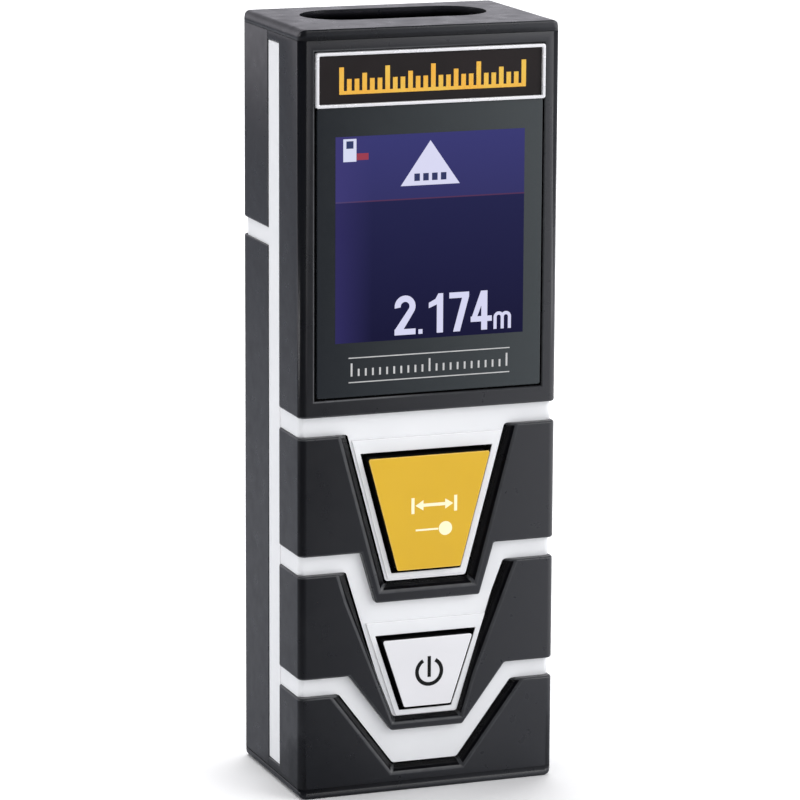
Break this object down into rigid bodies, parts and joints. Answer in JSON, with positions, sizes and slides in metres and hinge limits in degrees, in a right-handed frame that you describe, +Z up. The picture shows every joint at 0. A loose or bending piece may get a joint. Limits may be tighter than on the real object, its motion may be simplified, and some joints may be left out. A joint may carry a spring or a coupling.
{
  "type": "laser distance meter",
  "caption": "Pocket laser distance meter: white housing with black grips, colour display, yellow measuring key, power key, top optics window and hinged battery cover.",
  "frame": {"origin": "middle of the overall box at the bottom of the base cap, which the meter stands on", "axes": "+Z up along the laser beam and the long side; -Y out of the display and keys; +X to the right seen from the front"},
  "size_m": [0.0352, 0.0234, 0.1],
  "materials": {
    "white_core": "fine satin moulded white plastic",
    "black_grip": "matte moulded black elastomer",
    "yellow_key": "satin warm yellow plastic",
    "grey_key": "satin pale grey plastic",
    "key_rubber": "matte black silicone rubber",
    "display_glass": "glossy tinted window",
    "optics_glass": "glossy dark filter window",
    "badge_black": "semi-gloss very dark brown plate",
    "bright_trim": "bright silver trim",
    "lcd": "dark blue colour display panel",
    "lcd_frame": "white light-guide frame",
    "board_green": "solder-masked circuit board",
    "switch_metal": "stamped switch case",
    "chip_black": "moulded epoxy package",
    "chassis_black": "matte black optical chassis",
    "brass": "turned brass barrel",
    "lens": "coated optical lens",
    "cell_wrap": "printed cell sleeve with plain bands",
    "contact_steel": "nickel-plated contact",
    "screw_steel": "zinc-plated screw",
    "cable_orange": "flexible film cable"
  },
  "bodies": {
    "meter": {"front_housing": "white_core", "rear_housing": "white_core", "display_bezel": "black_grip", "measure_grip": "black_grip", "power_grip": "black_grip", "lower_grip": "black_grip", "rear_grip_upper": "black_grip", "rear_grip_lower": "black_grip", "top_cap": "black_grip", "base_cap": "black_grip", "display_window": "display_glass", "badge_frame": "bright_trim", "badge_plate": "badge_black", "measure_switch": "switch_metal", "power_switch": "switch_metal", "lcd_panel": "lcd", "lcd_backlight": "lcd_frame", "lcd_cable": "cable_orange", "main_board": "board_green", "controller_chip": "chip_black", "buzzer": "chip_black", "optics_chassis": "chassis_black", "laser_module": "brass", "collimator_lens": "lens", "receiver_lens": "lens", "receiver_board": "board_green", "optics_window": "optics_glass", "battery_cell_left": "cell_wrap", "battery_cell_right": "cell_wrap", "battery_spring_lower": "contact_steel", "battery_spring_upper": "contact_steel", "battery_bridge": "contact_steel", "battery_contact_plus": "contact_steel", "battery_contact_minus": "contact_steel", "housing_screw_1": "screw_steel", "housing_screw_2": "screw_steel", "housing_screw_3": "screw_steel", "housing_screw_4": "screw_steel"},
    "measure_key": {"measure_key_cap": "yellow_key", "measure_key_plunger": "key_rubber"},
    "power_key": {"power_key_cap": "grey_key", "power_key_plunger": "key_rubber"},
    "battery_door": {"battery_cover": "black_grip"}
  },
  "joints": [
    {"name": "measure_press", "type": "slide", "parent": "meter", "child": "measure_key", "axis": [0, 1, 0], "range_m": [0, 0.0006], "stiffness_N_per_m": 2000},
    {"name": "power_press", "type": "slide", "parent": "meter", "child": "power_key", "axis": [0, 1, 0], "range_m": [0, 0.0006], "stiffness_N_per_m": 2000},
    {"name": "cover_hinge", "type": "hinge", "parent": "meter", "child": "battery_door", "pos_m": [0, 0.01167, 0.0086], "axis": [-1, 0, 0], "range_deg": [0, 75]}
  ]
}
